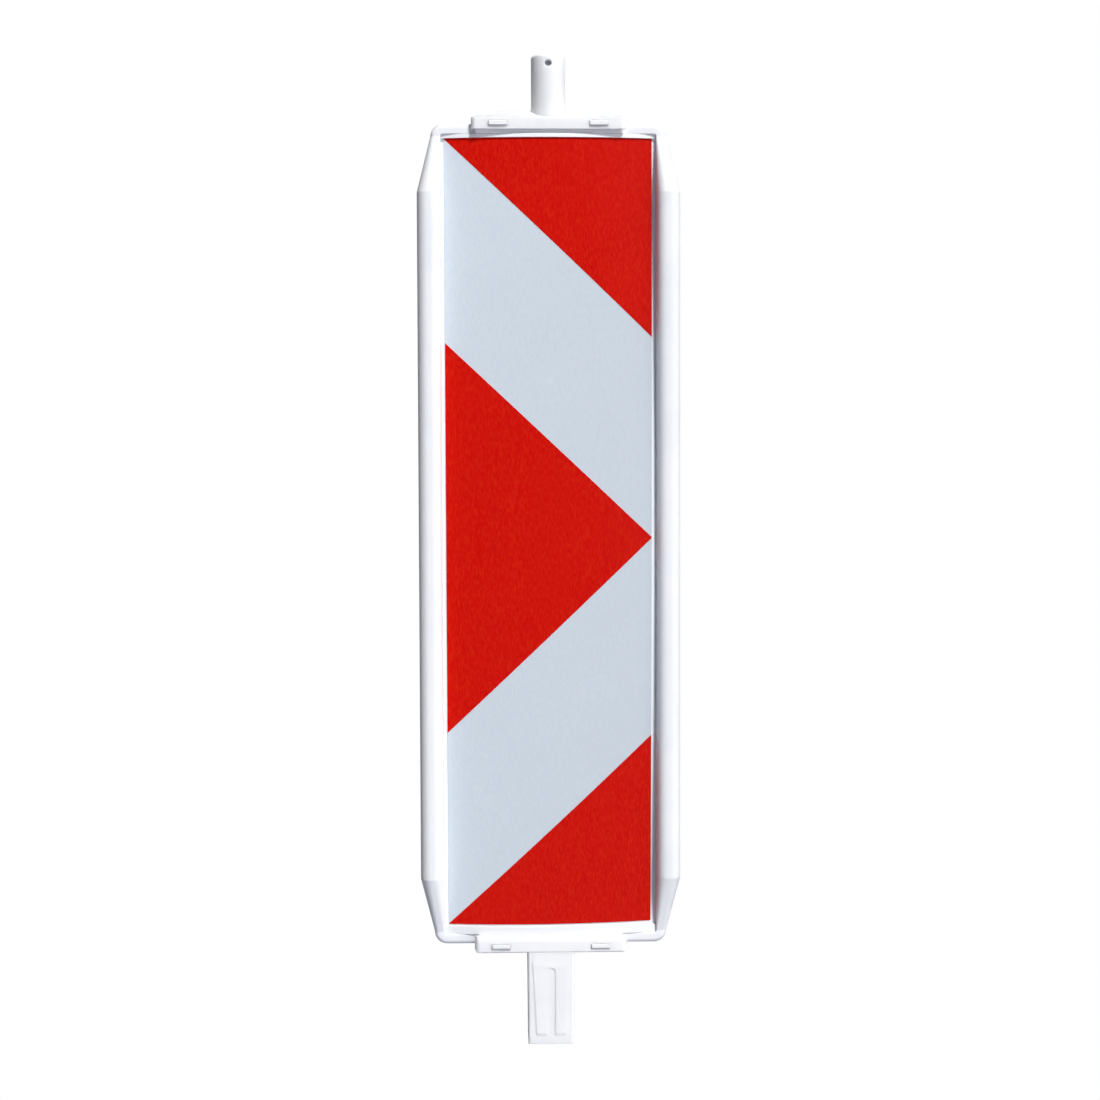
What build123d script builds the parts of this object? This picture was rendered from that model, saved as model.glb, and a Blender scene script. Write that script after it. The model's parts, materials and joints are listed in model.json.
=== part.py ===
from build123d import *
import math
import os

# Two-sided guide beacon, in millimetres. The front face looks along -Y, +X is to the
# right of someone facing it, and z = 0 is the shoulder that rests on the base plate.

# Retroreflective sheeting
film_width = 262.0  # measured round the bow
film_height = 1000.0
film_raise = 2.7  # middle of the sheeting above the middle of the panel
film_thickness = 0.4
red_film_thickness = 0.3
glue_line = 0.25

# Sign panels, bowed from side to side and slightly from end to end
panel_radius = 750.0  # outer face, from side to side
panel_swell = 11.0  # middle of the panel in front of its ends
swell_bands = 10  # straight bands that make up the swell
panel_thickness = 2.5
panel_side_margin = 5.2  # bare panel beside the sheeting
panel_end_margin = 8.0  # bare panel above and below the sheeting, on average
panel_grip = 3.0  # depth of the panel's edge in its groove
panel_back_gap = 4.9  # back of the panel's corners to the middle plane
panel_proud = 5.3  # crest of the panel's ends in front of the bars
rim_rise = 3.2  # raised rims above and below the sheeting
rim_gap = 0.4  # between the sheeting and the rims
rim_play = 0.3  # between the rims and the rails
panel_play = 0.25  # clearance round the edge in its groove
panel_end_play = 0.2  # clearance between the panel's ends and the bars

# Frame: two rails and two bars, moulded as a front and a rear half shell
rail_width = 30.0
rail_rise = 19.4  # crest of the rails in front of the bars
rail_round = 13.0
bar_height = 13.0
bar_round = 5.5
bar_edge_round = 1.5  # inner edge of the bars, beside the panels
shoulder_length = 87.0  # end of the frame to the crease where the rail tapers
corner_radius = 3.0  # inside corners of the ring
shell_wall = 3.5
groove_wall = 6.0  # inner wall of the ring, thick enough for the groove
least_round = 0.5
nose_share = 0.45  # most of a section's width that one rounded corner may take

# Tenons: blocks on the bars, under the clips
tenon_proud = 7.0  # in front of the bars
tenon_half_length = 91.8
tenon_roof = 1.8
head_tenon = 4.8
foot_tenon = 5.6

# Cross braces that tie the rails together
brace_height = 8.0
brace_spacing = 330.0
brace_play = 0.4  # clearance to the panels
brace_tab = 2.4  # thickness of the tab through the rail's wall
brace_head = 12.0  # width of the head that hooks behind the wall
brace_head_thickness = 4.0
brace_tab_play = 0.15
brace_hole_radius = 12.0
brace_hole_pitch = 62.0

# Screws that pull the half shells together, from behind
screws_per_rail = 4
screw_end_distance = 60.0  # crease to the first screw
screw_shank_radius = 2.0
screw_head_radius = 4.2
screw_head_height = 3.2
screw_seat = 9.0  # head's seat behind the middle plane
screw_bite = 16.0
screw_play = 0.1
screw_recess_width = 1.1
screw_recess_length = 4.6
screw_recess_depth = 1.6
well_play = 0.4
boss_wall = 2.4
pilot_spare = 2.0

# Latch tongues inside the tenons
lug_distance = 63.4  # middle of the beacon to the middle of a lug
lug_width = 23.0
lug_height = 5.4
lug_lead_in = 1.2  # chamfer on the lug's outer edge
head_lug_offset = -0.85  # lug's middle beyond the edge of the frame
foot_lug_offset = 0.8
lug_proud = 2.4  # nose in front of the clip's face
slot_play = 0.35
tongue_thickness = 2.2
tongue_gap = 0.4  # tongue to the tenon's front wall
tongue_play = 0.5  # above and below the tongue
tongue_length = 44.0  # hinge line to the middle of the lug
tongue_end = 1.0  # tongue past the lug
pad_length = 10.0
pad_thickness = 6.0
notch_radius = 0.8
stake_radius = 1.6
stake_play = 0.1
stake_spare = 0.4

# Both clips
fit_play = 0.3
clip_half_length = 97.2
clip_corner = 6.5
clip_end_round = 6.0

# Head clip
head_wall = 4.2
head_skirt = 8.2  # skirt below the top edge of the frame
head_eaves = 5.0  # top of the upright face, above the edge of the frame
head_shoulder = 9.8  # flat shoulders, above the edge of the frame
head_ridge = 18.0
ridge_half_width = 3.0
ridge_half_length = 62.5
hip_run = 6.0  # how far each end of the ridge slopes out
core_half_depth = 9.0
core_top = 11.0
core_start = 27.0
core_end = 54.0

# Lamp post on the head clip
post_radius = 21.5
post_wall = 3.5
post_cap = 20.0  # solid top, which the lock hole passes through
post_height = 67.5  # above the ridge
post_root_rise = 0.4  # thicker root that stops a lamp's sleeve
post_root_height = 1.0  # above the ridge
post_top_round = 3.0
lock_hole_radius = 4.25
lock_hole_drop = 10.8  # top of the post to the hole's middle

# Foot clip
foot_wall = 5.65
foot_floor = 3.0
foot_face = 14.0  # top of the upright face
foot_rim_wall = 4.2
foot_edge = 1.5

# Spigot under the foot clip
spigot_length = 118.0
spigot_width = 60.0
spigot_tip_width = 58.5
spigot_depth = 56.0
spigot_wall = 4.0
spigot_corner = 3.0
spigot_web = 3.0
web_setback = 8.0
rib_rise = 0.9
rib_top_half = 24.0
rib_tip_half = 18.5
rib_start = 3.0
rib_end = 108.0
rib_corner = 4.0
rib_top_run = 14.0  # slope at the upper end of the ribs
rib_tip_run = 4.0
rib_slot_half = 5.5
rib_slot_start = 20.0

# Sizes that follow
film_inner_radius = panel_radius + glue_line
film_outer_radius = film_inner_radius + film_thickness
film_angle = film_width / 2 / (film_inner_radius + film_thickness / 2)
film_half_chord = film_outer_radius * math.sin(film_angle)
opening_half_width = film_half_chord + panel_side_margin
opening_half_height = film_height / 2 + panel_end_margin
panel_half_chord = opening_half_width + panel_grip
panel_half_height = opening_half_height - panel_end_play
panel_back_radius = panel_radius - panel_thickness
panel_centre = math.sqrt(panel_back_radius**2 - panel_half_chord**2) - panel_back_gap
panel_crest = panel_radius - panel_centre  # at the panel's ends
swell_radius = (panel_half_height**2 + panel_swell**2) / 2 / panel_swell
bar_half_depth = panel_crest - panel_proud
tenon_half_depth = bar_half_depth + tenon_proud
rail_half_depth = bar_half_depth + rail_rise
rail_outside = opening_half_width + rail_width
half_height = opening_half_height + bar_height
crease = half_height - shoulder_length
frame_bottom = foot_floor + fit_play + foot_tenon
foot_cup = frame_bottom + bar_height  # top of the cup, level with the bar
frame_middle = frame_bottom + half_height
frame_top = frame_middle + half_height
head_half_depth = tenon_half_depth + fit_play + head_wall
foot_half_depth = tenon_half_depth + fit_play + foot_wall
tenon_inner_face = tenon_half_depth - shell_wall
tongue_front = tenon_inner_face - tongue_gap
tongue_back = tongue_front - tongue_thickness
hinge_distance = lug_distance - tongue_length
room_floor = groove_wall - bar_height
stake_distance = hinge_distance - pad_length / 2
rail_core_inner = opening_half_width + groove_wall
screw_distance = (rail_core_inner + rail_outside - shell_wall) / 2
beyond = 1.0  # cutters reach this far past what they cut


def block(x0, x1, y0, y1, z0, z1):
    """Box between two corners."""
    middle = Pos((x0 + x1) / 2, (y0 + y1) / 2, (z0 + z1) / 2)
    return middle * Box(x1 - x0, y1 - y0, z1 - z0)


def rod(radius, x, z, y0, y1):
    """Cylinder along Y."""
    return Pos(x, (y0 + y1) / 2, z) * Rot(90, 0, 0) * Cylinder(radius, y1 - y0)


def along_x(points, half_length):
    """Prism along X, both ways from the middle, from (y, z) points."""
    return extrude(Plane.YZ * make_face(Polyline(points, close=True)), half_length, both=True)


def along_y(points, half_depth):
    """Prism along Y, both ways from the middle plane, from (x, z) points."""
    return extrude(Plane.XZ * make_face(Polyline(points, close=True)), half_depth, both=True)


def half_section(inner, outer, depth, inner_round, outer_round):
    """Front half of a rail's section: a rectangle on the middle plane with a rounded nose."""
    face = Pos((inner + outer) / 2, -depth / 2) * Rectangle(outer - inner, depth)
    limit = nose_share * (outer - inner)
    for place, radius in ((inner, inner_round), (outer, outer_round)):
        front = face.vertices().group_by(Axis.Y)[0]
        corner = front.sort_by_distance((place, -depth, 0))[0]
        face = fillet(corner, min(max(radius, least_round), limit))
    return face


def half_ring(inner_wall, outer_wall):
    """Front half of the ring, drawn in by a wall inside and a wall outside."""
    inner = opening_half_width + inner_wall
    rail_nose = rail_round - outer_wall
    bar_noses = (bar_edge_round - outer_wall, bar_round - outer_wall)
    bar_depth = bar_half_depth - outer_wall
    rail = half_section(
        inner, rail_outside - outer_wall, rail_half_depth - outer_wall, rail_nose, rail_nose
    )
    tip = half_section(inner, opening_half_width + bar_height - outer_wall, bar_depth, *bar_noses)
    turn = opening_half_height - corner_radius
    pivot = Axis((opening_half_width - corner_radius, 0, turn), (0, -1, 0))
    taper = loft([Pos(0, 0, crease) * rail, Pos(0, 0, turn) * tip], ruled=True)
    corner = revolve(Pos(0, 0, turn) * tip, pivot, 90)
    upper = taper + corner
    right = extrude(rail, crease, both=True) + upper + mirror(upper, Plane.XY)
    bar_plane = Plane(origin=(0, 0, 0), x_dir=(0, 0, 1), z_dir=(-1, 0, 0))
    bar = half_section(
        opening_half_height + inner_wall, half_height - outer_wall, bar_depth, *bar_noses
    )
    top = extrude(bar_plane * bar, opening_half_width - corner_radius, both=True)
    return right + mirror(right, Plane.YZ) + top + mirror(top, Plane.XY)


def swell(level):
    """How far the panel at a height from its middle lies in front of its ends."""
    end = math.sqrt(swell_radius**2 - panel_half_height**2)
    return math.sqrt(swell_radius**2 - level**2) - end


def bowed_sheet(back_radius, front_radius, half_chord, low, high):
    """Front sheet that is bowed from side to side, and swells forwards in straight bands."""
    ring = Pos(0, panel_centre) * (Circle(front_radius) - Circle(back_radius))
    window = Pos(0, panel_centre - front_radius) * Rectangle(2 * half_chord, front_radius)
    section = ring & window
    end = panel_half_height + beyond
    step = 2 * end / swell_bands
    levels = [-end + step * i for i in range(swell_bands + 1)]
    sheet = loft([Pos(0, -swell(level), level) * section for level in levels], ruled=True)
    past = half_chord + beyond
    return sheet & block(-past, past, -front_radius, front_radius, low, high)


def at_both_hands(solid):
    """A piece on the right and its mirror image on the left."""
    return solid + mirror(solid, Plane.YZ)


def lug_slot(offset, reach):
    """Right-hand slot for a lug, through the front wall. z = 0 is the edge of the frame."""
    half_width = lug_width / 2 + slot_play
    half_tall = lug_height / 2 + slot_play
    return block(
        lug_distance - half_width,
        lug_distance + half_width,
        -reach - beyond,
        -tenon_inner_face + beyond,
        offset - half_tall,
        offset + half_tall,
    )


def tenon_block(tenon):
    """Front half of a tenon, from the inner edge of the bar outwards."""
    return block(
        -tenon_half_length, tenon_half_length, -tenon_half_depth, 0, -bar_height, tenon
    )


def latch_room(tenon):
    """Hollow in the front half of a tenon, where the latch tongues lie."""
    half_length = tenon_half_length - shell_wall
    return block(-half_length, half_length, -tenon_inner_face, beyond, room_floor, tenon - tenon_roof)


def stakes(tenon):
    """Two posts that the roots of the latch tongues are staked on."""
    tall = (room_floor + tenon - tenon_roof) / 2
    stake_end = tongue_front - pad_thickness - stake_spare
    return at_both_hands(
        rod(stake_radius, stake_distance, tall, -tenon_half_depth + shell_wall / 2, -stake_end)
    )


def frame_end(ring, tenon, offset):
    """Adds a tenon with its room, slots and stakes to the end of a half ring at z = 0."""
    ring = ring + tenon_block(tenon) - latch_room(tenon)
    ring = ring - at_both_hands(lug_slot(offset, tenon_half_depth))
    return ring + stakes(tenon)


def brace_levels():
    """Heights of the cross braces from the middle of the frame."""
    return [-brace_spacing, 0.0, brace_spacing]


def screw_levels():
    """Heights of the screws from the middle of the frame."""
    reach = crease - screw_end_distance
    step = 2 * reach / (screws_per_rail - 1)
    return [-reach + step * i for i in range(screws_per_rail)]


def frame_half():
    """Front half shell without its screw bosses, centred on the middle of the frame."""
    shell = half_ring(0, 0) - half_ring(groove_wall, shell_wall)
    shell = Pos(0, 0, half_height) * frame_end(
        Pos(0, 0, -half_height) * shell, head_tenon, head_lug_offset
    )
    shell = mirror(shell, Plane.XY)
    shell = Pos(0, 0, half_height) * frame_end(
        Pos(0, 0, -half_height) * shell, foot_tenon, foot_lug_offset
    )
    shell = mirror(shell, Plane.XY)
    groove_end = panel_half_height + panel_play
    shell = shell - bowed_sheet(
        panel_back_radius - panel_play,
        panel_radius + panel_play,
        panel_half_chord + panel_play,
        -groove_end,
        groove_end,
    )
    slot_half = brace_tab / 2 + brace_tab_play
    slot_tall = brace_height / 2 + brace_tab_play
    for level in brace_levels():
        slot = block(
            opening_half_width - beyond,
            rail_core_inner + beyond,
            -slot_half,
            beyond,
            level - slot_tall,
            level + slot_tall,
        )
        shell = shell - at_both_hands(slot)
    return shell


def front_frame():
    """Front half shell, with blind bosses that the screws bite into."""
    shell = frame_half()
    crest = -rail_half_depth + shell_wall / 2
    for level in screw_levels():
        boss = rod(screw_shank_radius + boss_wall, screw_distance, level, crest, 0)
        pilot = rod(
            screw_shank_radius + screw_play,
            screw_distance,
            level,
            -screw_bite - pilot_spare,
            beyond,
        )
        shell = shell + at_both_hands(boss) - at_both_hands(pilot)
    return shell


def rear_frame():
    """Rear half shell, with deep wells for the screw heads."""
    shell = mirror(frame_half(), Plane.XZ)
    crest = rail_half_depth - shell_wall / 2
    well_radius = screw_head_radius + well_play
    for level in screw_levels():
        boss = rod(well_radius + boss_wall, screw_distance, level, 0, crest)
        well = rod(well_radius, screw_distance, level, screw_seat, rail_half_depth + beyond)
        hole = rod(
            screw_shank_radius + screw_play, screw_distance, level, -beyond, screw_seat + beyond
        )
        shell = shell + at_both_hands(boss) - at_both_hands(well) - at_both_hands(hole)
    return shell


def frame_screws():
    """Pan-head screws with a cross recess, one solid each."""
    top = screw_seat + screw_head_height
    half_long = screw_recess_length / 2
    half_wide = screw_recess_width / 2
    floor = top - screw_recess_depth
    screw = rod(screw_head_radius, 0, 0, screw_seat, top)
    screw = screw + rod(screw_shank_radius, 0, 0, -screw_bite, screw_seat + beyond)
    screw = screw - block(-half_long, half_long, floor, top + beyond, -half_wide, half_wide)
    screw = screw - block(-half_wide, half_wide, floor, top + beyond, -half_long, half_long)
    screws = []
    for level in screw_levels():
        for side in (-1, 1):
            screws.append(Pos(side * screw_distance, 0, level) * screw)
    return Compound(children=screws)


def cross_brace(level):
    """Lens-shaped plank between the panels, hooked behind both rails' inner walls."""
    end = opening_half_width - brace_play
    back = panel_back_radius - brace_play
    centre = panel_centre - swell(abs(level) + brace_height / 2)
    front_half = Pos(0, centre) * Circle(back)
    rear_half = Pos(0, -centre) * Circle(back)
    plank = front_half & rear_half & Rectangle(2 * end, 2 * back)
    hook = rail_core_inner + brace_tab_play
    tab = Rectangle(2 * (hook + brace_head_thickness), brace_tab)
    plank = plank + tab
    for side in (-1, 1):
        plank = plank + Pos(side * (hook + brace_head_thickness / 2), 0) * Rectangle(
            brace_head_thickness, brace_head
        )
    for place in (-1, 0, 1):
        plank = plank - Pos(place * brace_hole_pitch, 0) * Circle(brace_hole_radius)
    return Pos(0, 0, level) * extrude(plank, brace_height / 2, both=True)


def front_panel():
    """Bowed sheet that springs into the grooves of the rails, with a raised rim at each end."""
    end = panel_half_height
    panel = bowed_sheet(panel_back_radius, panel_radius, panel_half_chord, -end, end)
    half_width = opening_half_width - rim_play
    film_top = film_raise + film_height / 2 + rim_gap
    film_bottom = film_raise - film_height / 2 - rim_gap
    outline = Plane.XZ * RectangleRounded(2 * half_width, 2 * end, corner_radius)
    opening = extrude(outline, 2 * rail_half_depth, both=True)
    for low, high in ((film_top, end), (-end, film_bottom)):
        rim = bowed_sheet(panel_back_radius, panel_radius + rim_rise, half_width, low, high)
        panel = panel + (rim & opening)
    return panel


def film_sheet(back_radius, thickness):
    """Film over the whole sign face."""
    low = film_raise - film_height / 2
    return bowed_sheet(
        back_radius, back_radius + thickness, film_half_chord, low, low + film_height
    )


def white_sheeting():
    """White film, the ground of the sign."""
    return film_sheet(film_inner_radius, film_thickness)


def red_film(corners):
    """Red film on the white one, cut to a triangle given in half widths and heights."""
    sheet = film_sheet(film_outer_radius + glue_line, red_film_thickness)
    outline = [(x * film_half_chord, film_raise + z * film_height) for x, z in corners]
    return sheet & along_y(outline, 2 * rail_half_depth)


def latch_tongue(tenon, offset, nose):
    """Right-hand front tongue of a tenon at z = 0: root pad, thin hinge, leaf and lug."""
    low = room_floor + tongue_play
    high = tenon - tenon_roof - tongue_play
    end = lug_distance + lug_width / 2 + tongue_end
    leaf = block(hinge_distance, end, -tongue_front, -tongue_back, low, high)
    pad = block(
        hinge_distance - pad_length,
        hinge_distance,
        -tongue_front,
        -tongue_front + pad_thickness,
        low,
        high,
    )
    bottom = offset - lug_height / 2
    top = offset + lug_height / 2
    profile = [
        (-tongue_back, bottom),
        (-nose, bottom),
        (-nose, top - lug_lead_in),
        (-nose + lug_lead_in, top),
        (-tongue_back, top),
    ]
    lug = Pos(lug_distance, 0, 0) * along_x(profile, lug_width / 2)
    notch = Pos(hinge_distance, -tongue_back, (low + high) / 2) * Cylinder(
        notch_radius, high - low + 2 * beyond
    )
    hole = rod(
        stake_radius + stake_play,
        stake_distance,
        (room_floor + tenon - tenon_roof) / 2,
        -tongue_front - beyond,
        -tongue_front + pad_thickness + beyond,
    )
    return leaf + pad + lug - notch - hole


def clip_plan(half_depth, low, high):
    """Rounded oblong of a clip seen from above, as a prism."""
    plan = RectangleRounded(2 * clip_half_length, 2 * half_depth, clip_corner)
    return Pos(0, 0, low) * extrude(plan, high - low)


def clip_outline(points, rounded, half_depth):
    """Clip seen from the front, as a prism along Y, with the corners at one height rounded."""
    face = make_face(Polyline(points, close=True))
    ends = [v for v in face.vertices() if abs(v.Y - rounded) < least_round]
    ends = [v for v in ends if abs(abs(v.X) - clip_half_length) < least_round]
    face = fillet(ends, clip_end_round)
    return extrude(Plane.XZ * face, half_depth, both=True)


def head_clip():
    """Cap over the top bar with a hipped roof and the lamp post. z = 0 is the frame's top edge."""
    hip_foot = ridge_half_length + hip_run
    profile = [
        (-head_half_depth, -head_skirt),
        (-head_half_depth, head_eaves),
        (-ridge_half_width, head_ridge),
        (ridge_half_width, head_ridge),
        (head_half_depth, head_eaves),
        (head_half_depth, -head_skirt),
    ]
    outline = [
        (-clip_half_length, -head_skirt),
        (-clip_half_length, head_shoulder),
        (-hip_foot, head_shoulder),
        (-ridge_half_length, head_ridge),
        (ridge_half_length, head_ridge),
        (hip_foot, head_shoulder),
        (clip_half_length, head_shoulder),
        (clip_half_length, -head_skirt),
    ]
    clip = along_x(profile, clip_half_length)
    clip = clip & clip_outline(outline, head_shoulder, 2 * head_half_depth)
    clip = clip & clip_plan(head_half_depth, -head_skirt, head_ridge)
    top = head_ridge + post_height
    roof = head_tenon + fit_play
    post = Pos(0, 0, (roof + top) / 2) * Cylinder(post_radius, top - roof)
    post = fillet(post.edges().group_by(Axis.Z)[-1], post_top_round)
    root_top = head_ridge + post_root_height
    root = Pos(0, 0, (roof + root_top) / 2) * Cylinder(post_radius + post_root_rise, root_top - roof)
    post = post + root
    bore_top = top - post_cap
    bore = Pos(0, 0, bore_top / 2) * Cylinder(post_radius - post_wall, bore_top)
    inside = tenon_half_depth + fit_play
    half_length = tenon_half_length + fit_play
    past = clip_half_length + beyond
    channel = block(-past, past, -inside, inside, -head_skirt - beyond, fit_play)
    pocket = block(-half_length, half_length, -inside, inside, 0, roof)
    core = block(core_start, core_end, -core_half_depth, core_half_depth, 0, core_top)
    hole = rod(lock_hole_radius, 0, top - lock_hole_drop, -post_radius - beyond, post_radius + beyond)
    slots = at_both_hands(lug_slot(head_lug_offset, head_half_depth))
    slots = slots + mirror(slots, Plane.XZ)
    clip = clip + post - bore - channel - pocket - at_both_hands(core)
    return clip - hole - slots


def spigot_prism(inset, depth, low, high):
    """Tapering square plug of the spigot, or its hollow, drawn in by a wall."""
    top_half = spigot_width / 2 - inset
    tip_half = spigot_tip_width / 2 - inset
    slope = (top_half - tip_half) / spigot_length
    low_half = top_half + slope * low
    high_half = top_half + slope * high
    points = [(-low_half, low), (low_half, low), (high_half, high), (-high_half, high)]
    return along_y(points, depth / 2)


def spigot_ribs(depth):
    """Raised pad on the spigot's faces: two tapering legs joined at the top."""
    points = [
        (-rib_top_half, -rib_start),
        (rib_top_half, -rib_start),
        (rib_tip_half, -rib_end),
        (-rib_tip_half, -rib_end),
    ]
    face = make_face(Polyline(points, close=True))
    face = fillet(face.vertices().group_by(Axis.Y)[0], rib_corner)
    slot_round = -rib_slot_start - rib_slot_half
    slot_end = -rib_end - beyond
    slot = Pos(0, (slot_round + slot_end) / 2) * Rectangle(2 * rib_slot_half, slot_round - slot_end)
    slot = slot + Pos(0, slot_round) * Circle(rib_slot_half)
    crest = depth / 2
    root = crest - rib_rise
    slopes = [
        (-root, -rib_start),
        (root, -rib_start),
        (crest, -rib_start - rib_top_run),
        (crest, -rib_end + rib_tip_run),
        (root, -rib_end),
        (-root, -rib_end),
        (-crest, -rib_end + rib_tip_run),
        (-crest, -rib_start - rib_top_run),
    ]
    return extrude(Plane.XZ * (face - slot), crest, both=True) & along_x(slopes, spigot_width)


def spigot():
    """Hollow plug with inner webs and ribbed front and rear faces, below z = 0."""
    body_depth = spigot_depth - 2 * rib_rise
    plug = spigot_prism(0, body_depth, -spigot_length, foot_floor / 2)
    upright = [edge for edge in plug.edges() if edge.bounding_box().size.Z > spigot_length / 2]
    plug = fillet(upright, spigot_corner)
    hollow = spigot_prism(
        spigot_wall, body_depth - 2 * spigot_wall, -spigot_length - beyond, 0
    )
    half_web = spigot_web / 2
    inner_half = spigot_width / 2 - spigot_wall / 2
    inner_depth = body_depth / 2 - spigot_wall / 2
    web_end = -spigot_length + web_setback
    webs = block(-half_web, half_web, -inner_depth, inner_depth, web_end, beyond)
    webs = webs + block(-inner_half, inner_half, -half_web, half_web, web_end, beyond)
    plug = plug + (spigot_ribs(spigot_depth) - hollow)
    return plug - hollow + (webs & spigot_prism(spigot_wall / 2, body_depth, web_end, beyond))


def foot_clip():
    """Cup under the bottom bar with the spigot. z = 0 is the shoulder under the cup."""
    rim = tenon_half_depth + fit_play + foot_rim_wall
    profile = [
        (-foot_half_depth + foot_edge, 0),
        (-foot_half_depth, foot_edge),
        (-foot_half_depth, foot_face),
        (-rim, foot_cup),
        (rim, foot_cup),
        (foot_half_depth, foot_face),
        (foot_half_depth, foot_edge),
        (foot_half_depth - foot_edge, 0),
    ]
    outline = [
        (-clip_half_length, 0),
        (clip_half_length, 0),
        (clip_half_length, foot_cup),
        (-clip_half_length, foot_cup),
    ]
    cup = along_x(profile, clip_half_length)
    cup = cup & clip_outline(outline, 0, 2 * foot_half_depth)
    cup = cup & clip_plan(foot_half_depth, 0, foot_cup)
    inside = tenon_half_depth + fit_play
    half_length = tenon_half_length + fit_play
    past = clip_half_length + beyond
    channel = block(-past, past, -inside, inside, frame_bottom - fit_play, foot_cup + beyond)
    pocket = block(-half_length, half_length, -inside, inside, foot_floor, frame_bottom)
    slots = at_both_hands(lug_slot(foot_lug_offset, foot_half_depth))
    slots = slots + mirror(slots, Plane.XZ)
    slots = Pos(0, 0, frame_bottom) * mirror(slots, Plane.XY)
    return cup + spigot() - channel - pocket - slots


red_shapes = {
    "red_top": [(-1, 0.5), (1, 0.5), (1, 0.25)],
    "red_arrow": [(-1, 0.25), (1, 0), (-1, -0.25)],
    "red_bottom": [(-1, -0.5), (1, -0.25), (1, -0.5)],
}


def faces():
    """Both sign faces: panels, white sheeting and red films, centred on the frame."""
    fronts = {"panel": front_panel(), "white_sheeting": white_sheeting()}
    for name, corners in red_shapes.items():
        fronts[name] = red_film(corners)
    pieces = {}
    for name, piece in fronts.items():
        pieces["front_" + name] = piece
        pieces["rear_" + name] = mirror(piece, Plane.XZ)
    return pieces


def latches():
    """The eight latch tongues, at the edges of the frame, in the whole part's frame."""
    head = latch_tongue(head_tenon, head_lug_offset, head_half_depth + lug_proud)
    foot = latch_tongue(foot_tenon, foot_lug_offset, foot_half_depth + lug_proud)
    ends = {
        "head": Pos(0, 0, frame_top) * head,
        "foot": Pos(0, 0, frame_bottom) * mirror(foot, Plane.XY),
    }
    pieces = {}
    for name, right in ends.items():
        left = mirror(right, Plane.YZ)
        pieces[name + "_latch_front_right"] = right
        pieces[name + "_latch_front_left"] = left
        pieces[name + "_latch_rear_right"] = mirror(right, Plane.XZ)
        pieces[name + "_latch_rear_left"] = mirror(left, Plane.XZ)
    return pieces


def frame_pieces():
    """Half shells, screws and braces, centred on the frame."""
    lower, middle, upper = brace_levels()
    return {
        "front_frame": front_frame(),
        "rear_frame": rear_frame(),
        "frame_screws": frame_screws(),
        "lower_brace": cross_brace(lower),
        "middle_brace": cross_brace(middle),
        "upper_brace": cross_brace(upper),
    }


def beacon():
    """All the pieces in place, by node name."""
    pieces = {"foot_clip": foot_clip(), "head_clip": Pos(0, 0, frame_top) * head_clip()}
    for name, piece in {**frame_pieces(), **faces()}.items():
        pieces[name] = Pos(0, 0, frame_middle) * piece
    pieces.update(latches())
    return pieces


def main():
    os.makedirs("parts", exist_ok=True)
    for name, piece in beacon().items():
        export_step(piece, f"parts/{name}.step")


if __name__ == "__main__":
    main()
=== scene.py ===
import bmesh
import bpy
import json
import math
import numpy as np
from mathutils import Matrix, Vector


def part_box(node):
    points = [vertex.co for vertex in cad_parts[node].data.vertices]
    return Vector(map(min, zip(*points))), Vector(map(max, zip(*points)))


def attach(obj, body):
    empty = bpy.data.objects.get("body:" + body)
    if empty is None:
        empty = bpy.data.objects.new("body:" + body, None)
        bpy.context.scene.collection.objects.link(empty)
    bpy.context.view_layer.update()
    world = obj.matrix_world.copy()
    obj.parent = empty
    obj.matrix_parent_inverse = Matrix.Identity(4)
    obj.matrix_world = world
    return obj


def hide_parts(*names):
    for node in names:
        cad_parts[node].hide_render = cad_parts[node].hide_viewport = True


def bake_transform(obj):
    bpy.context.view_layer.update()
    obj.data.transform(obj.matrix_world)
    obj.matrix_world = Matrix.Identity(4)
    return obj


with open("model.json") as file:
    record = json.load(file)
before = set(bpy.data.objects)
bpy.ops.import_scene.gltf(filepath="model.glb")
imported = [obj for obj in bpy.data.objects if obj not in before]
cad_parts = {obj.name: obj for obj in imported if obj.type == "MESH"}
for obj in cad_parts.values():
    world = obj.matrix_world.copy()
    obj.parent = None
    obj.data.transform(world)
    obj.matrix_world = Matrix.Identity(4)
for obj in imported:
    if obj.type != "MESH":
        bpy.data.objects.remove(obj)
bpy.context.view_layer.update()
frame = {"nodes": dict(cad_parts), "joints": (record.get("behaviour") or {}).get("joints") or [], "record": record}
nodes = frame["nodes"]
mm = 0.001
noiseLow, noiseHigh = 0.3, 0.7  # nearly all values of a noise lie between these
print("frame loaded:", len(nodes), "nodes")


def linear(hexColour):
    # sRGB hex to linear RGBA: below 0.04045 it is c/12.92, above it ((c + 0.055)/1.055)^2.4
    c = np.array([int(hexColour[i:i + 2], 16) for i in (1, 3, 5)]) / 255
    lin = np.where(c <= 0.04045, c / 12.92, ((c + 0.055) / 1.055) ** 2.4)
    return (*[float(v) for v in lin], 1.0)


def addNode(tree, kind, settings=None, inputs=None):
    # inputs maps a socket to a plain value or to (node, output) that is linked to it
    node = tree.nodes.new(kind)
    for key, value in (settings or {}).items():
        setattr(node, key, value)
    for key, value in (inputs or {}).items():
        if isinstance(value, tuple) and isinstance(value[0], bpy.types.Node):
            tree.links.new(value[0].outputs[value[1]], node.inputs[key])
        else:
            node.inputs[key].default_value = value
    return node


def emptyMaterial(name):
    mat = bpy.data.materials.new(name)
    mat.use_nodes = True
    mat.node_tree.nodes.clear()
    return mat, mat.node_tree


def addObject(name, data):
    made = bpy.data.objects.new(name, data)
    bpy.context.scene.collection.objects.link(made)
    return made


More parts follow.
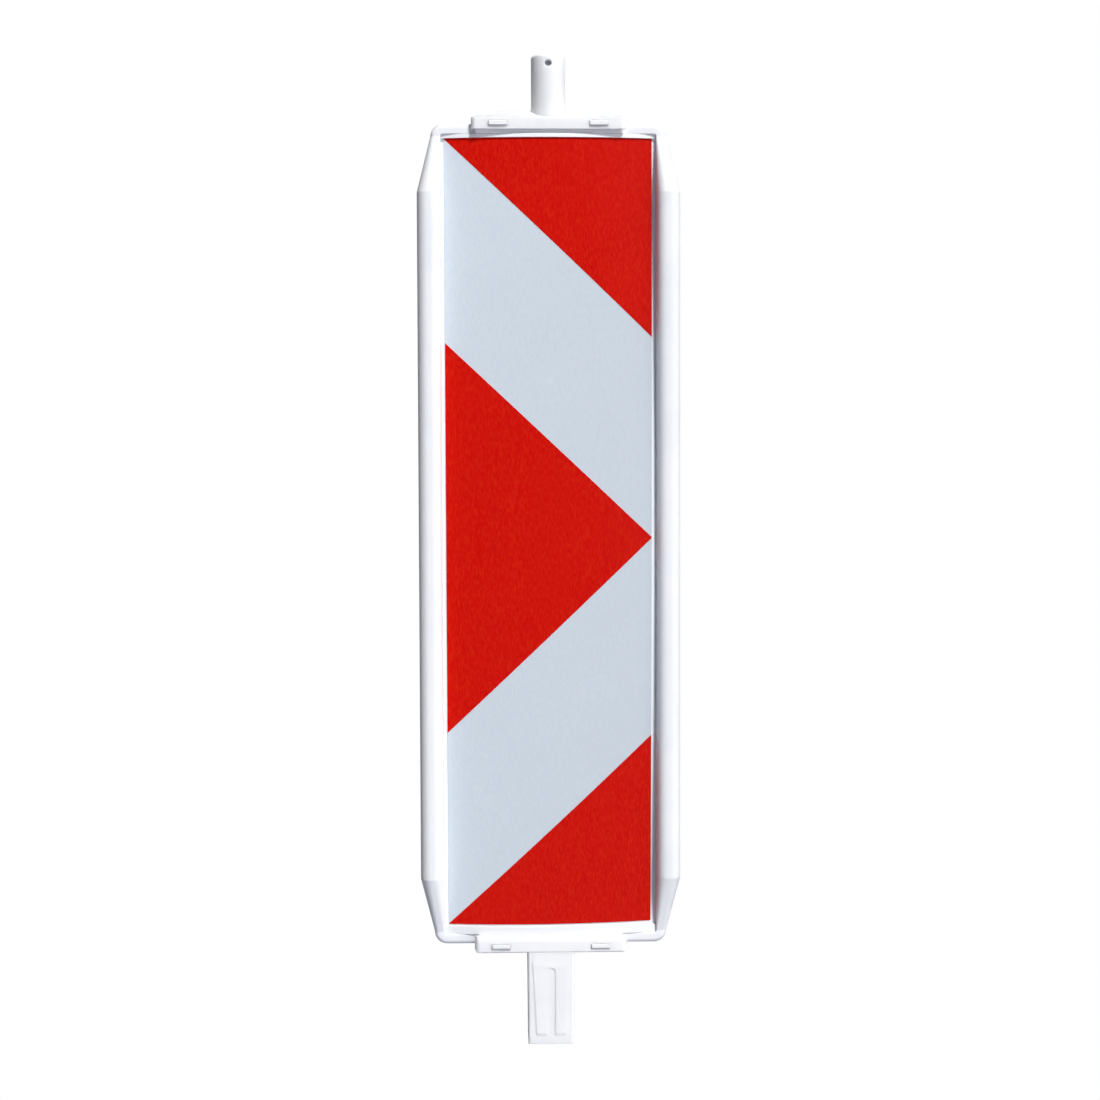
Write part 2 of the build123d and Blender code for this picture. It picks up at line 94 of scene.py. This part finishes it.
# white polyethylene, blow-moulded: satin skin with a faint orange peel and slight milky depth
framePlastic = {"name": "whitePolyethylene", "pale": "#F2F3F6", "dull": "#EBEDF0",
                "cloudMm": 90.0, "peelMm": 2.2, "peelDeepMm": 0.05, "rough": (0.36, 0.48),
                "ior": 1.50, "milky": 0.7, "milkyMm": 5.0}
# white polypropylene, injection-moulded: tighter, glossier skin than the frame
clipPlastic = {"name": "whitePolypropylene", "pale": "#F5F6F8", "dull": "#EFF0F3",
               "cloudMm": 60.0, "peelMm": 0.9, "peelDeepMm": 0.03, "rough": (0.30, 0.40),
               "ior": 1.49, "milky": 0.8, "milkyMm": 6.0}
# white extruded sheet: smooth, with very slow waves from the rolls
panelPlastic = {"name": "whiteSheetPlastic", "pale": "#F2F3F6", "dull": "#EDEFF2",
                "cloudMm": 120.0, "peelMm": 6.0, "peelDeepMm": 0.03, "rough": (0.30, 0.38),
                "ior": 1.50, "milky": 0.3, "milkyMm": 1.5}
# white acetal, injection-moulded: slightly waxy and denser white
latchPlastic = {"name": "whiteAcetal", "pale": "#F0F1F2", "dull": "#E9EAEC",
                "cloudMm": 25.0, "peelMm": 0.6, "peelDeepMm": 0.02, "rough": (0.32, 0.42),
                "ior": 1.48, "milky": 0.5, "milkyMm": 3.0}
# the same for all four: noise values of the two tones, detail of the noises, strength of the peel
moulding = {"dullAt": 0.30, "paleAt": 0.62, "cloudDetail": 3.0, "peelDetail": 2.0, "peelShow": 0.6}


def mouldedPlastic(look):
    mat, tree = emptyMaterial(look["name"])
    place = addNode(tree, "ShaderNodeTexCoord")
    cloud = addNode(tree, "ShaderNodeTexNoise", None,
                    {"Vector": (place, "Object"), "Scale": 1 / (look["cloudMm"] * mm),
                     "Detail": moulding["cloudDetail"]})
    tone = addNode(tree, "ShaderNodeValToRGB", None, {"Fac": (cloud, "Fac")})
    ramp = tone.color_ramp.elements
    ramp[0].position, ramp[0].color = moulding["dullAt"], linear(look["dull"])
    ramp[1].position, ramp[1].color = moulding["paleAt"], linear(look["pale"])
    peel = addNode(tree, "ShaderNodeTexNoise", None,
                   {"Vector": (place, "Object"), "Scale": 1 / (look["peelMm"] * mm),
                    "Detail": moulding["peelDetail"]})
    rough = addNode(tree, "ShaderNodeMapRange", None,
                    {"Value": (cloud, "Fac"), "From Min": noiseLow, "From Max": noiseHigh,
                     "To Min": look["rough"][0], "To Max": look["rough"][1]})
    bump = addNode(tree, "ShaderNodeBump", None,
                   {"Height": (peel, "Fac"), "Distance": look["peelDeepMm"] * mm,
                    "Strength": moulding["peelShow"]})
    skin = addNode(tree, "ShaderNodeBsdfPrincipled", None,
                   {"Base Color": (tone, "Color"), "Roughness": (rough, "Result"),
                    "Normal": (bump, "Normal"), "IOR": look["ior"],
                    "Subsurface Weight": look["milky"], "Subsurface Radius": (1.0, 1.0, 1.0),
                    "Subsurface Scale": look["milkyMm"] * mm})
    addNode(tree, "ShaderNodeOutputMaterial", None, {"Surface": (skin, "BSDF")})
    return mat


# white retroreflective sheeting: clear smooth top over a grey-white bed of glass beads, faintly
# streaked; its left-to-right pair is painted shade, the factors its colour is scaled by at its
# left and right edges, darker towards the right
whiteFilm = {"name": "whiteReflectiveSheeting",
             "pale": "#CFD8E0", "dull": "#CCD5DE", "warm": "#D1D9DF",
             "streakMm": (2.0, 7.0), "cloudMm": 60.0, "beadMm": 1.1, "leftRight": (1.02, 0.84),
             "rough": (0.25, 0.275), "ior": 1.49, "gloss": 0.25, "grain": 0.02, "patch": 0.007}
# red transparent film over the same beads: deep signal red with fine upright streaks of orange;
# its left-to-right pair is painted shade as on the white sheeting
redFilm = {"name": "redReflectiveSheeting",
           "pale": "#CE150D", "dull": "#CA0D08", "warm": "#D2220E",
           "streakMm": (2.0, 7.0), "cloudMm": 60.0, "beadMm": 1.1, "leftRight": (1.01, 0.87),
           "rough": (0.25, 0.275), "ior": 1.49, "gloss": 0.07, "grain": 0.03, "patch": 0.015}
# the same for both: noise values of the three tones, detail of the noises, where a bead ends, half
# the width that the painted shade from left to right runs over, and depth and strength of the
# waves in the clear top
sheeting = {"dullAt": 0.36, "paleAt": 0.50, "warmAt": 0.66, "detail": 2.0, "streakRough": 0.6,
            "beadEdge": 0.8, "halfWideMm": 130.0, "waveDeepMm": 0.015, "waveShow": 0.5}


def beadedFilm(look):
    # beads of 0.05 mm don't show at this size, so the grain is drawn about twenty times coarser
    mat, tree = emptyMaterial(look["name"])
    place = addNode(tree, "ShaderNodeTexCoord")
    wide, tall = (1 / (size * mm) for size in look["streakMm"])
    upright = addNode(tree, "ShaderNodeMapping", None,
                      {"Vector": (place, "Object"), "Scale": (wide, wide, tall)})
    streak = addNode(tree, "ShaderNodeTexNoise", None,
                     {"Vector": (upright, "Vector"), "Scale": 1.0, "Detail": sheeting["detail"],
                      "Roughness": sheeting["streakRough"]})
    tone = addNode(tree, "ShaderNodeValToRGB", None, {"Fac": (streak, "Fac")})
    ramp = tone.color_ramp.elements
    ramp[0].position, ramp[0].color = sheeting["dullAt"], linear(look["dull"])
    ramp[1].position, ramp[1].color = sheeting["warmAt"], linear(look["warm"])
    ramp.new(sheeting["paleAt"]).color = linear(look["pale"])
    cloud = addNode(tree, "ShaderNodeTexNoise", None,
                    {"Vector": (place, "Object"), "Scale": 1 / (look["cloudMm"] * mm),
                     "Detail": sheeting["detail"]})
    patch = addNode(tree, "ShaderNodeMapRange", None,
                    {"Value": (cloud, "Fac"), "From Min": noiseLow, "From Max": noiseHigh,
                     "To Min": 1 - look["patch"], "To Max": 1 + look["patch"]})
    beads = addNode(tree, "ShaderNodeTexVoronoi", {"feature": "F1"},
                    {"Vector": (place, "Object"), "Scale": 1 / (look["beadMm"] * mm)})
    grain = addNode(tree, "ShaderNodeMapRange", None,
                    {"Value": (beads, "Distance"),
                     "From Min": 0.0, "From Max": sheeting["beadEdge"],
                     "To Min": 1 + look["grain"], "To Max": 1 - look["grain"]})
    split = addNode(tree, "ShaderNodeSeparateXYZ", None, {"Vector": (place, "Object")})
    # painted shade: the colour is scaled from the left-edge factor to the right-edge factor along X, darker
    # towards the right
    across = addNode(tree, "ShaderNodeMapRange", None,
                     {"Value": (split, "X"), "From Min": -sheeting["halfWideMm"] * mm,
                      "From Max": sheeting["halfWideMm"] * mm,
                      "To Min": look["leftRight"][0], "To Max": look["leftRight"][1]})
    even = addNode(tree, "ShaderNodeMath", {"operation": "MULTIPLY"},
                   {0: (patch, "Result"), 1: (across, "Result")})
    fine = addNode(tree, "ShaderNodeMath", {"operation": "MULTIPLY"},
                   {0: (even, "Value"), 1: (grain, "Result")})
    # base colour: streaked tone times random patches, bead grain and the painted shade from left to right
    speckleAndPaintedShade = addNode(tree, "ShaderNodeVectorMath", {"operation": "SCALE"},
                      {0: (tone, "Color"), "Scale": (fine, "Value")})
    rough = addNode(tree, "ShaderNodeMapRange", None,
                    {"Value": (cloud, "Fac"), "From Min": noiseLow, "From Max": noiseHigh,
                     "To Min": look["rough"][0], "To Max": look["rough"][1]})
    bump = addNode(tree, "ShaderNodeBump", None,
                   {"Height": (cloud, "Fac"), "Distance": sheeting["waveDeepMm"] * mm,
                    "Strength": sheeting["waveShow"]})
    skin = addNode(tree, "ShaderNodeBsdfPrincipled", None,
                   {"Base Color": (speckleAndPaintedShade, "Vector"), "Roughness": (rough, "Result"),
                    "Normal": (bump, "Normal"), "IOR": look["ior"],
                    "Specular IOR Level": look["gloss"]})
    addNode(tree, "ShaderNodeOutputMaterial", None, {"Surface": (skin, "BSDF")})
    return mat


# zinc-plated steel screws: bright grey with a dull, slightly blotchy passivated skin
screwSteel = {"name": "zincPlatedSteel", "pale": "#C9CBCB", "dull": "#B4B6B4",
              "blotchMm": 1.2, "blotchDetail": 3.0, "rough": (0.28, 0.42)}


def platedSteel(look):
    mat, tree = emptyMaterial(look["name"])
    place = addNode(tree, "ShaderNodeTexCoord")
    blotch = addNode(tree, "ShaderNodeTexNoise", None,
                     {"Vector": (place, "Object"), "Scale": 1 / (look["blotchMm"] * mm),
                      "Detail": look["blotchDetail"]})
    tone = addNode(tree, "ShaderNodeValToRGB", None, {"Fac": (blotch, "Fac")})
    tone.color_ramp.elements[0].color = linear(look["dull"])
    tone.color_ramp.elements[1].color = linear(look["pale"])
    rough = addNode(tree, "ShaderNodeMapRange", None,
                    {"Value": (blotch, "Fac"),
                     "To Min": look["rough"][0], "To Max": look["rough"][1]})
    skin = addNode(tree, "ShaderNodeBsdfPrincipled", None,
                   {"Base Color": (tone, "Color"), "Roughness": (rough, "Result"), "Metallic": 1.0})
    addNode(tree, "ShaderNodeOutputMaterial", None, {"Surface": (skin, "BSDF")})
    return mat


finishes = {
    "frame_plastic": mouldedPlastic(framePlastic),
    "clip_plastic": mouldedPlastic(clipPlastic),
    "panel_plastic": mouldedPlastic(panelPlastic),
    "latch_plastic": mouldedPlastic(latchPlastic),
    "white_reflective_film": beadedFilm(whiteFilm),
    "red_reflective_film": beadedFilm(redFilm),
    "zinc_plated_steel": platedSteel(screwSteel),
}
for part in frame["record"]["subparts"]:
    mesh = nodes[part["node"]].data
    mesh.materials.clear()
    mesh.materials.append(finishes[part["material_slot"]])
print("finishes set:", len(finishes))

# sign face: bow of radius 750 mm from side to side, swell of 11 mm from end to end, and how far
# the backs and fronts of the films lie in front of the panel
face = {"bowRadius": 750 * mm, "swell": 11 * mm,
        "white": (0.25 * mm, 0.65 * mm), "red": (0.66 * mm, 0.95 * mm)}
panelLow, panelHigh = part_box("front_panel")
faceMiddle = (panelLow.z + panelHigh.z) / 2
faceHalf = (panelHigh.z - panelLow.z) / 2
faceCrest = -panelLow.y  # at mid-height


def faceDepth(x, z, lift):
    # distance in front of the middle plane:
    # crest - (R - sqrt(R^2 - x^2)) - swell * (height from the middle / half height)^2 + lift
    bow = face["bowRadius"] - np.sqrt(face["bowRadius"] ** 2 - x ** 2)
    return faceCrest - bow - face["swell"] * ((z - faceMiddle) / faceHalf) ** 2 + lift


def slab(name, x, z, back, front, side):
    # closed sheet: two grids over the same x and z, lifted by back and front, and a wall round
    # their rim; side is 1 on the front face and -1 on the rear one
    rows, cols = x.shape
    near = np.stack([x, -side * faceDepth(x, z, front), z], -1).reshape(-1, 3)
    far = np.stack([x, -side * faceDepth(x, z, back), z], -1).reshape(-1, 3)
    index = np.arange(rows * cols).reshape(rows, cols)
    quads = np.stack([index[:-1, :-1], index[:-1, 1:], index[1:, 1:], index[1:, :-1]], -1)
    quads = quads.reshape(-1, 4)
    rim = np.concatenate([index[0, :-1], index[:-1, -1], index[-1, :0:-1], index[:0:-1, 0]])
    after = np.roll(rim, -1)
    wall = np.stack([rim, rim + rows * cols, after + rows * cols, after], -1)
    faces = np.concatenate([quads, quads[:, ::-1] + rows * cols, wall])
    if side > 0:  # so that the faces point outwards
        faces = faces[:, ::-1]
    mesh = bpy.data.meshes.new(name)
    mesh.from_pydata(np.concatenate([near, far]).tolist(), [], faces.tolist())
    smooth = np.zeros(len(faces), bool)
    smooth[:2 * len(quads)] = True  # the wall stays flat, so that the cut edge is crisp
    mesh.polygons.foreach_set("use_smooth", smooth)
    mesh.update()
    return addObject(name, mesh)


# sheeting as it was laid by hand, in mm: places across at the upper and lower end of each edge,
# and distances down from its top edge
frontSheet = {"top": 502.9, "leftX": (-131.5, -130.5), "rightX": (130.6, 128.4),
              "leftLong": 998.5, "rightLong": 996.0, "topRight": 249.6,
              "arrowLeft": (256.8, 751.2), "arrowTip": 503.1, "bottomRight": 754.9}
rearSheet = {"top": 502.6, "leftX": (-130.2, -130.6), "rightX": (129.8, 130.4),
             "leftLong": 999.0, "rightLong": 999.4, "topRight": 250.5,
             "arrowLeft": (251.5, 751.0), "arrowTip": 501.0, "bottomRight": 750.8}
# how it was cut: length of a true sheet and blunt end of a cut point in mm, share of a film from
# its edge to the line beside it, and grid lines across and down
cut = {"long": 1000, "tip": 0.6, "edgeShare": 0.0004,
       "whiteGrid": (49, 161), "cornerGrid": (49, 49), "arrowGrid": (49, 81)}


def edgeX(ends, down):
    # place across on an edge that runs straight from its upper to its lower end
    return (ends[0] + (ends[1] - ends[0]) * down / cut["long"]) * mm


def gridLines(count):
    # even steps from 0 to 1, and one more line close to each end, which keeps the smooth shading
    # flat up to the cut edge
    return np.concatenate([[0], np.linspace(cut["edgeShare"], 1 - cut["edgeShare"], count), [1]])


def layFilm(name, sheet, side, leftDown, rightDown, lift, finish, node, counts):
    # a four-sided film: leftDown and rightDown are its (upper, lower) corners down each edge
    s = gridLines(counts[0])[None, :]
    t = gridLines(counts[1])[:, None]
    left = leftDown[0] + (leftDown[1] - leftDown[0]) * t
    right = rightDown[0] + (rightDown[1] - rightDown[0]) * t
    down = left + (right - left) * s
    x = edgeX(sheet["leftX"], down) * (1 - s) + edgeX(sheet["rightX"], down) * s
    z = faceMiddle + (sheet["top"] - down) * mm
    piece = slab(name, x, z, lift[0], lift[1], side)
    piece.data.materials.append(finishes[finish])
    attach(piece, "beacon")
    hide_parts(node)


for word, side, sheet in (("front", 1, frontSheet), ("rear", -1, rearSheet)):
    leftLong, rightLong, arrowTip = sheet["leftLong"], sheet["rightLong"], sheet["arrowTip"]
    layFilm(word + "WhiteSheeting", sheet, side, (0, leftLong), (0, rightLong), face["white"],
            "white_reflective_film", word + "_white_sheeting", cut["whiteGrid"])
    layFilm(word + "RedTop", sheet, side, (0, cut["tip"]), (0, sheet["topRight"]), face["red"],
            "red_reflective_film", word + "_red_top", cut["cornerGrid"])
    layFilm(word + "RedArrow", sheet, side, sheet["arrowLeft"],
            (arrowTip - cut["tip"], arrowTip + cut["tip"]), face["red"],
            "red_reflective_film", word + "_red_arrow", cut["arrowGrid"])
    layFilm(word + "RedBottom", sheet, side, (leftLong - cut["tip"], leftLong),
            (sheet["bottomRight"], rightLong), face["red"],
            "red_reflective_film", word + "_red_bottom", cut["cornerGrid"])
print("films laid")

# latch tongues: on the real part the leaf bends off its root pad at a notch 1.6 mm wide; here each
# tongue is copied and cut across that notch
tongue = {"notchHalf": 0.8 * mm, "bendLines": 5, "merge": 0.001 * mm, "snap": 0.02 * mm,
          "crease": 30.0}


def bendingTongue(joint):
    # copy of the CAD tongue, merged and cut across the notch, so that there is something to bend
    words = joint["child"].split("_")
    name = words[0] + "".join(word.capitalize() for word in words[1:])
    hinge = Vector(joint["pos_m"])
    outward = Vector((math.copysign(1, hinge.x), 0, 0))
    half = outward * tongue["notchHalf"]
    shape = bmesh.new()
    shape.from_mesh(nodes[joint["child"]].data)
    bmesh.ops.remove_doubles(shape, verts=shape.verts, dist=tongue["merge"])
    for step in np.linspace(-1, 1, tongue["bendLines"]):
        whole = shape.verts[:] + shape.edges[:] + shape.faces[:]
        bmesh.ops.bisect_plane(shape, geom=whole, dist=tongue["snap"],
                               plane_co=hinge + half * float(step), plane_no=outward)
    mesh = bpy.data.meshes.new(name)
    shape.to_mesh(mesh)
    shape.free()
    if "custom_normal" in mesh.attributes:  # normals of the CAD mesh, which no longer fit
        mesh.attributes.remove(mesh.attributes["custom_normal"])
    mesh.polygons.foreach_set("use_smooth", np.ones(len(mesh.polygons), bool))
    mesh.set_sharp_from_angle(angle=math.radians(tongue["crease"]))
    mesh.materials.clear()
    mesh.materials.append(finishes["latch_plastic"])
    piece = addObject(name, mesh)
    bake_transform(piece)
    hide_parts(joint["child"])
    return piece


tongues = [bendingTongue(joint) for joint in frame["joints"] if "_latch_" in joint["child"]]
print("tongues bent at their notches:", len(tongues))

# studio: white floor that only the camera sees, far lamps and a dim bluish surround
studio = {"floorZ": -0.1185, "floorHalf": 12.0, "lampAway": 4.0, "white": "#FFFFFF",
          "surround": 0.02, "surroundTint": "#C4D0FF"}
# each lamp: degrees round to the right, degrees up, degrees across as seen from the beacon,
# power, tint, seen in gloss
lamps = {
    "keyLamp": (28.0, 50.0, 9.0, 3.72, "#FFFFFF", True),
    "rightSoftbox": (45.0, 10.0, 60.0, 0.85, "#FFFFFF", False),
    "floorBounce": (10.0, -58.0, 90.0, 1.35, "#EAEFFF", False),
    "rearSoftbox": (155.0, 8.0, 30.0, 2.5, "#FFFFFF", False),
    "leftRearSoftbox": (-128.0, 8.0, 40.0, 0.75, "#FFFFFF", False),
    "leftSoftbox": (-78.0, 14.0, 40.0, 0.12, "#FFFFFF", False),
}
for name, (turn, rise, spread, power, tint, gloss) in lamps.items():
    lampData = bpy.data.lights.new(name, "SUN")
    lampData.angle, lampData.energy = math.radians(spread), power
    lampData.color = linear(tint)[:3]
    lamp = addObject(name, lampData)
    turn, rise = math.radians(turn), math.radians(rise)
    way = Vector((math.sin(turn) * math.cos(rise), -math.cos(turn) * math.cos(rise),
                  math.sin(rise)))
    lamp.location = way * studio["lampAway"]
    lamp.rotation_euler = way.to_track_quat("Z", "Y").to_euler()
    lamp.visible_glossy = gloss

far, level = studio["floorHalf"], studio["floorZ"]
floorMesh = bpy.data.meshes.new("studioFloor")
floorMesh.from_pydata([(-far, -far, level), (far, -far, level), (far, far, level),
                       (-far, far, level)], [], [(0, 1, 2, 3)])
floor = addObject("studioFloor", floorMesh)
paper, tree = emptyMaterial("whiteStudioPaper")
glow = addNode(tree, "ShaderNodeEmission", None,
               {"Color": linear(studio["white"]), "Strength": 1.0})
addNode(tree, "ShaderNodeOutputMaterial", None, {"Surface": (glow, "Emission")})
floorMesh.materials.append(paper)
floor.visible_diffuse = floor.visible_glossy = floor.visible_shadow = False

world = bpy.data.worlds.new("paleSurround")
bpy.context.scene.world = world
world.use_nodes = True
tree = world.node_tree
tree.nodes.clear()
path = addNode(tree, "ShaderNodeLightPath")
dim = addNode(tree, "ShaderNodeBackground", None,
              {"Color": linear(studio["surroundTint"]), "Strength": studio["surround"]})
bright = addNode(tree, "ShaderNodeBackground", None,
                 {"Color": linear(studio["white"]), "Strength": 1.0})
both = addNode(tree, "ShaderNodeMixShader", None,
               {0: (path, "Is Camera Ray"), 1: (dim, "Background"), 2: (bright, "Background")})
addNode(tree, "ShaderNodeOutputWorld", None, {"Surface": (both, "Shader")})
bpy.context.scene.view_settings.view_transform = "Standard"
print("studio lit")

# camera: 2.4 m away, a little to the left, looking slightly down
shot = {"turn": -1.5, "distance": 2.42, "height": 0.6273, "tilt": 2.695, "roll": -0.18,
        "sensor": 36.0, "lens": 62.02, "shiftX": 0.0006}
cameraData = bpy.data.cameras.new("beaconCamera")
cameraData.sensor_width, cameraData.lens = shot["sensor"], shot["lens"]
cameraData.shift_x = shot["shiftX"]
camera = addObject("beaconCamera", cameraData)
turn, tilt, roll = (math.radians(shot[key]) for key in ("turn", "tilt", "roll"))
camera.location = (math.sin(turn) * shot["distance"], -math.cos(turn) * shot["distance"],
                   shot["height"])
camera.rotation_euler = (Matrix.Rotation(turn, 3, "Z")
                         @ Matrix.Rotation(math.pi / 2 - tilt, 3, "X")
                         @ Matrix.Rotation(roll, 3, "Z")).to_euler()
bpy.context.scene.camera = camera

bpy.context.view_layer.update()
